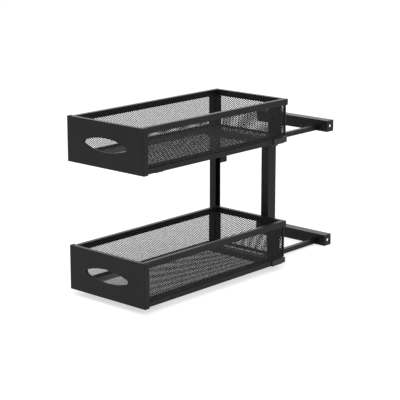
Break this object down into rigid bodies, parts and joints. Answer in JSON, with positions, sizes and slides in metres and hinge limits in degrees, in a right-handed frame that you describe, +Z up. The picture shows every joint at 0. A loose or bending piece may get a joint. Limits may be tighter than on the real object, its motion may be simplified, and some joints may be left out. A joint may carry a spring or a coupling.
{
  "type": "pull-out cabinet basket",
  "caption": "Two-tier cabinet organizer: stacked mesh baskets with folded front panels and lens-shaped handle slots slide out on runners from a rear frame with square rods.",
  "frame": {"origin": "centre of the bounding box at the cabinet floor", "axes": "+X to the right seen from the front, +Y to the back of the cabinet, +Z up; the baskets slide out along -Y"},
  "size_m": [0.225, 0.595, 0.3348],
  "materials": {
    "frame_black": "matte black powder coat",
    "mesh": "matte black powder coat on expanded metal",
    "nylon": "moulded, matte",
    "rubber": "matte",
    "zinc": "dark zinc plate"
  },
  "bodies": {
    "frame": {"left_post": "frame_black", "right_post": "frame_black", "lower_rear_bar": "frame_black", "upper_rear_bar": "frame_black", "lower_right_rod": "frame_black", "upper_right_rod": "frame_black", "lower_cross_bar": "frame_black", "upper_cross_bar": "frame_black", "lower_front_strap": "frame_black", "upper_front_strap": "frame_black", "lower_left_runner": "frame_black", "lower_right_runner": "frame_black", "upper_left_runner": "frame_black", "upper_right_runner": "frame_black", "lower_runner_caps": "nylon", "upper_runner_caps": "nylon", "lower_left_stop_plate": "frame_black", "lower_right_stop_plate": "frame_black", "upper_left_stop_plate": "frame_black", "upper_right_stop_plate": "frame_black", "stop_bumpers": "rubber", "left_cleat": "frame_black", "front_feet": "rubber", "post_screws": "zinc"},
    "lower_basket": {"lower_front_panel": "frame_black", "lower_left_top_rail": "frame_black", "lower_right_top_rail": "frame_black", "lower_rear_top_rail": "frame_black", "lower_left_bottom_rail": "frame_black", "lower_right_bottom_rail": "frame_black", "lower_rear_bottom_rail": "frame_black", "lower_left_corner_post": "frame_black", "lower_right_corner_post": "frame_black", "lower_left_mesh": "mesh", "lower_right_mesh": "mesh", "lower_rear_mesh": "mesh", "lower_floor_mesh": "mesh", "lower_left_slide": "zinc", "lower_right_slide": "zinc", "lower_glides": "nylon"},
    "upper_basket": {"upper_front_panel": "frame_black", "upper_left_top_rail": "frame_black", "upper_right_top_rail": "frame_black", "upper_rear_top_rail": "frame_black", "upper_left_bottom_rail": "frame_black", "upper_right_bottom_rail": "frame_black", "upper_rear_bottom_rail": "frame_black", "upper_left_corner_post": "frame_black", "upper_right_corner_post": "frame_black", "upper_left_mesh": "mesh", "upper_right_mesh": "mesh", "upper_rear_mesh": "mesh", "upper_floor_mesh": "mesh", "upper_left_slide": "zinc", "upper_right_slide": "zinc", "upper_glides": "nylon"}
  },
  "joints": [
    {"name": "lower_slide", "type": "slide", "parent": "frame", "child": "lower_basket", "axis": [0, -1, 0], "range_m": [0, 0.28]},
    {"name": "upper_slide", "type": "slide", "parent": "frame", "child": "upper_basket", "axis": [0, -1, 0], "range_m": [0, 0.28]}
  ]
}
